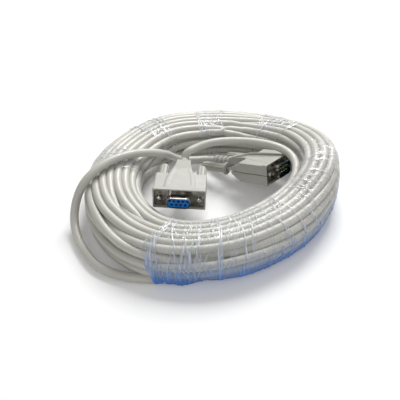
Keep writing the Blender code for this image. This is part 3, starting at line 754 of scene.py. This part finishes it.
@dataclass
class Cable:
    """The whole cable, from the socket connector through the coil to the plug connector."""

    coil: Coil
    female: ConnectorFrame
    male: ConnectorFrame
    female_boot_end: float = 0.0413
    male_boot_end: float = 0.0533
    jacket_end: float = 0.0245
    spacing: float = 0.003
    sides: int = 16
    length: float = 15.0
    join_run: float = 0.030
    winding: Winding = field(init=False)
    path: np.ndarray = field(init=False)

    def tail(self, frame: ConnectorFrame, boot_end: float, route: tuple) -> np.ndarray:
        """Points of the free cable from inside a hood to the coil."""
        straight = [frame.point(-along) for along in (self.jacket_end, (self.jacket_end + boot_end) / 2,
                                                      boot_end, boot_end + self.coil.cord)]
        centre = Vector((*self.coil.centre, 0.0))
        return smooth_route([*straight, *(Vector(point) + centre for point in route)], self.spacing)

    def route(self) -> np.ndarray:
        """Returns the centreline from the socket connector's hood to the plug connector's."""
        start, end = (Vector(route[-1]) for route in (FEMALE_ROUTE, MALE_ROUTE))
        self.winding = Winding(
            self.coil,
            start_azimuth=math.degrees(math.atan2(start.y, start.x)),
            start_place=(math.hypot(start.x, start.y), start.z),
            end_azimuth=math.degrees(math.atan2(end.y, end.x)) % 360.0,
            end_place=(math.hypot(end.x, end.y), end.z),
        )
        turns = self.winding.build()
        first = self.tail(self.female, self.female_boot_end, FEMALE_ROUTE)
        last = self.tail(self.male, self.male_boot_end, MALE_ROUTE)[::-1]
        path = np.vstack([first[:-1], turns, last[1:]])
        for seam in (len(first) - 1, len(first) + len(turns) - 2):
            self.ease(path, seam)
        return path

    def ease(self, path: np.ndarray, seam: int) -> None:
        """Smooths the path on both sides of a seam, changed in place."""
        reach = round(self.join_run / self.spacing)
        weight = np.cos(np.linspace(-math.pi / 2, math.pi / 2, 2 * reach + 1))[:, None]
        part = slice(seam - reach, seam + reach + 1)
        for _ in range(40):
            middle = (path[seam - reach - 1 : seam + reach] + path[seam - reach + 1 : seam + reach + 2]) / 2
            path[part] += 0.5 * weight * (middle - path[part])

    def build(self, wardrobe: Wardrobe) -> bpy.types.Object:
        self.path = self.route()
        cable = CordTree(wardrobe.jacket).sweep("cable", self.path, self.coil.cord / 2, self.sides)
        walked = np.linalg.norm(np.diff(self.path, axis=0), axis=1).sum()
        LOG.info("cable: %.2f m, %d points", walked, len(self.path))
        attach(cable, "cable")
        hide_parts("cable_coil", "cable_tail_female", "cable_tail_male")
        return cable


# The film


@dataclass(frozen=True)
class FilmBand:
    """One band of film round the coil's section, between two azimuths."""

    node: str
    first: float
    last: float
    step: float = 0.2
    around: int = 220
    lift: float = 0.00025
    dip: float = 0.06
    crease_depth: float = 0.00040
    wrinkle_depth: float = 0.00030
    calm_from: float = 360.0
    skew: float = 0.0
    # Share of the painted blue backdrop reflection on this band.
    blue: float = 0.25
    bunch_rows: int = 24
    bunches: int = 22

    def envelope(self, winding: Winding, azimuth: float) -> tuple[np.ndarray, np.ndarray, np.ndarray]:
        """The tight film round the turns in one section: straight between the turns that it touches.

        Args:
            winding: the settled turns.
            azimuth: where the section is cut.

        Returns:
            The section's middle, the directions round it and the film's reach along each.
        """
        middle, _, height = winding.coil.section(azimuth)
        centre = np.array([middle, winding.coil.floor + height / 2])
        angle = 2 * math.pi * np.arange(self.around) / self.around
        ways = np.stack([np.cos(angle), np.sin(angle)], axis=1)
        offset = winding.slice_at(azimuth % 360.0) - centre
        radius = winding.coil.cord / 2 + self.lift
        along = offset @ ways.T
        beside = offset[:, :1] * ways[:, 1] - offset[:, 1:] * ways[:, 0]
        inside = np.clip(radius**2 - beside**2, 0.0, None)
        reach = np.where(np.abs(beside) < radius, along + np.sqrt(inside), 0.0).max(axis=0)
        support = along.max(axis=0) + radius
        slant = ways @ ways.T
        hull = np.where(slant > 0.2, support[:, None] / np.maximum(slant, 0.2), np.inf).min(axis=0)
        return centre, ways, np.maximum(hull - self.dip * (hull - reach), reach)

    def creases(self, rows: int, rng: np.random.Generator) -> np.ndarray:
        """Height of the film's creases, from 0 to 1: narrow ridges that run round the section at a slant."""
        ridge = np.zeros((rows, self.around))
        row = np.arange(rows)[:, None] * self.step
        turn = np.arange(self.around)[None, :] / self.around * 2 * math.pi
        for _ in range(round(rows * self.step * 2.2)):
            start = rng.uniform(-4.0, rows * self.step + 4.0)
            slant = rng.normal(0.0, 3.4)
            middle = rng.uniform(-0.6, 0.8 * math.pi)
            span = rng.uniform(0.20, 0.75)
            width = rng.uniform(0.16, 0.42)
            bend = rng.normal(0.0, 1.2)
            away = np.angle(np.exp(1j * (turn - middle)))
            line = start + slant * away + bend * np.sin(2.3 * away)
            sharp = np.exp(-((row - line) / width) ** 2) * np.exp(-((away / span) ** 4))
            ridge = np.maximum(ridge, rng.uniform(0.35, 1.0) * sharp)
        return ridge

    def streaks(self, rows: int, rng: np.random.Generator) -> np.ndarray:
        """Fine wrinkles that run round the section, from 0 to 1, in bunches; the film's material paints
        glints along them.
        """
        fine = np.zeros((rows, self.around))
        angle = np.arange(self.around) / self.around * 2 * math.pi
        row = np.arange(rows)
        for period, weight in ((1.5, 0.5), (2.6, 0.9), (4.1, 0.9), (8.3, 0.6)):
            lean = np.zeros(self.around)
            for turn in (1, 2, 3, 5, 9):
                lean += rng.normal(0.0, 3.6 / turn) * np.sin(turn * angle + rng.uniform(0.0, 6.3))
            knots = rng.normal(0.0, 1.0, round(rows / period) + 40)
            place = (row[:, None] + lean[None, :]) / period + 15.0
            index = place.astype(int)
            share = place - index
            fine += weight * (knots[index] * (1 - share) + knots[index + 1] * share)
        calm = rng.normal(0.0, 1.0, (rows // self.bunch_rows + 3, self.bunches + 1))
        place = row / self.bunch_rows
        index = place.astype(int)
        share = (place - index)[:, None]
        around = np.arange(self.around) / self.around * self.bunches
        column = around.astype(int)
        part = around - column
        bunch = calm[index] * (1 - share) + calm[index + 1] * share
        bunch = bunch[:, column] * (1 - part) + bunch[:, (column + 1) % self.bunches] * part
        still = np.clip((self.first + row * self.step - self.calm_from) / 6.0, 0.0, 1.0)[:, None]
        return np.clip(0.42 + 0.24 * fine + 0.20 * bunch - 0.45 * still, 0.0, 1.0)

    def edges(self, rng: np.random.Generator) -> tuple[np.ndarray, np.ndarray]:
        """How far each torn edge stands inside the band, in degrees, all round the section."""
        angle = np.arange(self.around) / self.around * 2 * math.pi
        both = []
        for _ in range(2):
            wave = np.zeros(self.around)
            for turn in (1, 2, 3, 7, 12):
                wave += rng.normal(0.0, 0.9 / turn) * np.sin(turn * angle + rng.uniform(0.0, 6.3))
            both.append(wave - wave.min())
        both[0] += self.skew * np.clip(0.5 - np.sin(angle), 0.0, 1.0)
        return both[0], both[1]

    def lay_attribute(self, piece: bpy.types.Object, name: str, values: np.ndarray) -> None:
        """Writes a value for each point of the film as a mesh attribute."""
        layer = piece.data.attributes.new(name, "FLOAT", "POINT")
        layer.data.foreach_set("value", values.reshape(-1).astype(np.float32))

    def build(self, winding: Winding, wardrobe: Wardrobe, seed: int) -> bpy.types.Object:
        """Makes the band's piece over the settled turns."""
        rng = np.random.default_rng(seed)
        azimuths = np.arange(self.first, self.last + self.step / 2, self.step)
        found = [self.envelope(winding, azimuth) for azimuth in azimuths]
        ways = found[0][1]
        film = np.array([reach for _, _, reach in found])
        ridge = self.creases(len(azimuths), rng)
        streak = self.streaks(len(azimuths), rng)
        film = film + self.crease_depth * ridge + self.wrinkle_depth * (streak - 0.5)
        turn = np.radians(azimuths)[:, None]
        centres = np.array([centre for centre, _, _ in found])
        radius = centres[:, :1] + film * ways[:, 0]
        rise = np.maximum(centres[:, 1:] + film * ways[:, 1], 0.00005)
        coil = winding.coil
        across = coil.centre[0] + radius * np.cos(turn)
        deep = coil.centre[1] + radius * np.sin(turn)
        points = np.stack([across, deep, rise], axis=-1).reshape(-1, 3)
        faces = grid_faces(len(azimuths), self.around)
        before, after = self.edges(rng)
        inside = (azimuths[:, None] - self.first >= before) & (self.last - azimuths[:, None] >= after)
        faces = faces[inside.reshape(-1)[faces].all(axis=1)]
        used = np.unique(faces)
        piece = object_from(self.node, points[used], np.searchsorted(used, faces))
        # Mask for the painted reflection of a blue backdrop: strongest on low, outward-facing film, scaled
        # by each band's blue share.
        outward = np.clip((ways[:, 0] + 0.15) / 0.6, 0.0, 1.0)
        low = np.clip(1.0 - (rise - 0.003) / 0.025, 0.0, 1.0) ** 1.3 * outward * self.blue
        for layer, values in (("crease", ridge), ("streak", streak), ("low", low)):
            self.lay_attribute(piece, layer, values.reshape(-1)[used])
        dress(piece, wardrobe.film)
        return piece


@dataclass
class Film:
    """All the bands of film on the coil."""

    winding: Winding
    bands: tuple = (
        FilmBand("film_band_front", 241.0, 304.0, calm_from=290.0, skew=6.0, blue=1.0),
        FilmBand("film_band_front_right", 301.0, 341.0, calm_from=290.0, blue=1.0),
        FilmBand("film_band_right", 340.0, 375.0, blue=0.8),
        FilmBand("film_band_back_right", 35.0, 60.0),
        FilmBand("film_band_back", 80.0, 100.0),
        FilmBand("film_band_back_left", 120.0, 140.0),
        FilmBand("film_band_left", 160.0, 185.0),
    )

    def build(self, wardrobe: Wardrobe) -> None:
        """Makes every band."""
        for seed, band in enumerate(self.bands, 3):
            name = band.node.replace("film_band", "film")
            piece = band.build(self.winding, wardrobe, seed)
            piece.name = name
            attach(piece, "cable")
            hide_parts(band.node)
            LOG.info("%s: %d faces", name, len(piece.data.polygons))


# The connectors


@dataclass
class Connector:
    """One connector: its CAD pieces with their finishes, and finer pieces in place of the plain ones."""

    place: ConnectorFrame
    nodes: dict
    voxel: float = 0.00032

    def node(self, name: str) -> bpy.types.Object:
        """The model's own node of this connector."""
        return self.nodes[f"{self.place.gender.value}_{name}"]

    def softened(self, name: str, piece_name: str, material: bpy.types.Material) -> bpy.types.Object:
        """A moulded copy of a node, with its edges rounded as a mould leaves them.

        Args:
            name: the node, without the connector's name.
            piece_name: the new piece's name.
            material: its finish.

        Returns:
            The new piece, in place of the node.
        """
        source = self.node(name)
        mesh = source.data.copy()
        bm = bmesh.new()
        bm.from_mesh(mesh)
        bmesh.ops.remove_doubles(bm, verts=bm.verts, dist=1e-6)
        bm.to_mesh(mesh)
        bm.free()
        piece = bpy.data.objects.new(f"{self.place.gender.value}_{piece_name}", mesh)
        bpy.context.scene.collection.objects.link(piece)
        remesh = piece.modifiers.new("remesh", "REMESH")
        remesh.mode = "VOXEL"
        remesh.voxel_size = self.voxel
        smooth = piece.modifiers.new("smooth", "SMOOTH")
        smooth.factor = 0.5
        smooth.iterations = 5
        applied(piece)
        piece.data.shade_smooth()
        dress(piece, material)
        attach(piece, "cable")
        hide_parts(source.name)
        return piece

    def build(self, wardrobe: Wardrobe) -> list[bpy.types.Object]:
        """Dresses the connector and returns its pieces."""
        pieces = [
            self.softened(f"hood_{half}", f"hood_{half}_shell", wardrobe.hood) for half in ("upper", "lower")
        ]
        finishes = {
            "front_shell": wardrobe.plated, "rear_shell": wardrobe.plated,
            # The plug's insulator takes the lighter copy with painted light.
            "insulator": wardrobe.painted_light_insulator if self.place.gender is Gender.PLUG else wardrobe.insulator,
            "wires": wardrobe.wire, "clamp": wardrobe.steel, "boot": wardrobe.hood,
            "thumbscrew_knob_left": wardrobe.knob, "thumbscrew_knob_right": wardrobe.knob,
            "thumbscrew_screw_left": wardrobe.steel, "thumbscrew_screw_right": wardrobe.steel,
        }
        for name, finish in finishes.items():
            pieces.append(dress(self.node(name), finish))
        kind = "pin" if self.place.gender is Gender.PLUG else "socket"
        # Socket contacts get the gold darkened with painted shade; plug pins get plain gold.
        contact = wardrobe.gold if kind == "pin" else wardrobe.socket
        for number in range(1, 10):
            pieces.append(dress(self.node(f"{kind}_{number}"), contact))
        LOG.info("%s connector dressed", self.place.gender.value)
        return pieces


# The studio


@dataclass(frozen=True)
class Studio:
    """Floor, light and camera."""

    centre: Pair
    elevation: float = 39.0
    distance: float = 0.37
    lens: float = 48.08
    sensor: float = 36.0
    shift: Pair = (-0.02675, -0.01025)
    floor_size: float = 6.0
    floor_lift: float = 0.13

    def build(self) -> None:
        """Makes the stage."""
        self.camera()
        self.floor()
        self.world()
        self.lamp("key", (0.16, 0.62, 0.72), 0.50, 11.0)
        self.lamp("fill", (-0.45, -0.75, 0.55), 0.60, 1.6)
        self.lamp("side", (0.85, -0.25, 0.30), 0.40, 1.3)

    def camera(self) -> None:
        """Puts the camera at the photograph's viewing angle."""
        data = bpy.data.cameras.new("camera")
        data.lens = self.lens
        data.sensor_width = self.sensor
        data.shift_x, data.shift_y = self.shift
        data.clip_start = 0.01
        camera = bpy.data.objects.new("camera", data)
        bpy.context.scene.collection.objects.link(camera)
        tilt = math.radians(self.elevation)
        camera.location = (self.centre[0], self.centre[1] - self.distance * math.cos(tilt),
                           self.distance * math.sin(tilt))
        camera.rotation_euler = (math.radians(90.0) - tilt, 0.0, 0.0)
        bpy.context.scene.camera = camera

    def floor(self) -> None:
        """Lays the pale floor."""
        half = self.floor_size / 2
        corners = np.array([(-half, -half, 0.0), (half, -half, 0.0), (half, half, 0.0), (-half, half, 0.0)])
        floor = object_from("floor", corners, [(0, 1, 2, 3)])
        material = bpy.data.materials.new("floor_white")
        material.use_nodes = True
        nodes, links = material.node_tree.nodes, material.node_tree.links
        nodes.remove(nodes["Principled BSDF"])
        diffuse = nodes.new("ShaderNodeBsdfDiffuse")
        diffuse.inputs["Color"].default_value = (0.80, 0.80, 0.80, 1.0)
        glow = nodes.new("ShaderNodeEmission")
        glow.inputs["Strength"].default_value = self.floor_lift
        rays = nodes.new("ShaderNodeLightPath")
        seen = nodes.new("ShaderNodeMath")
        seen.operation = "MULTIPLY"
        seen.inputs[1].default_value = self.floor_lift
        links.new(rays.outputs["Is Camera Ray"], seen.inputs[0])
        links.new(seen.outputs[0], glow.inputs["Strength"])
        both = nodes.new("ShaderNodeAddShader")
        links.new(diffuse.outputs[0], both.inputs[0])
        links.new(glow.outputs[0], both.inputs[1])
        links.new(both.outputs[0], nodes["Material Output"].inputs["Surface"])
        dress(floor, material)

    def world(self) -> None:
        """Lights everything softly from all round, with white behind."""
        world = bpy.data.worlds.new("studio")
        world.use_nodes = True
        bpy.context.scene.world = world
        background = world.node_tree.nodes["Background"]
        background.inputs["Color"].default_value = (1.0, 1.0, 1.0, 1.0)
        background.inputs["Strength"].default_value = 0.36

    def lamp(self, name: str, place: Triple, size: float, power: float) -> None:
        """Adds a square soft light that faces the coil.

        Args:
            name: the light's name.
            place: where it hangs.
            size: its side.
            power: in watts.
        """
        data = bpy.data.lights.new(name, "AREA")
        data.size = size
        data.energy = power
        lamp = bpy.data.objects.new(name, data)
        bpy.context.scene.collection.objects.link(lamp)
        lamp.location = place
        lamp.rotation_euler = (-Vector(place)).to_track_quat("-Z", "Y").to_euler()


def main() -> None:
    """Builds the cable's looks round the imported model."""
    logging.basicConfig(level=logging.INFO, format="%(name)s: %(message)s")
    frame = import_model()
    bpy.context.scene.view_settings.view_transform = "Standard"
    coil = Coil()
    Studio(coil.centre).build()
    wardrobe = Wardrobe()
    female, male = (ConnectorFrame.found(gender, frame["joints"]) for gender in Gender)
    cable = Cable(coil, female, male)
    cord = cable.build(wardrobe)
    Film(cable.winding).build(wardrobe)
    Connector(female, frame["nodes"]).build(wardrobe)
    Connector(male, frame["nodes"]).build(wardrobe)


if __name__ == "__main__":
    main()
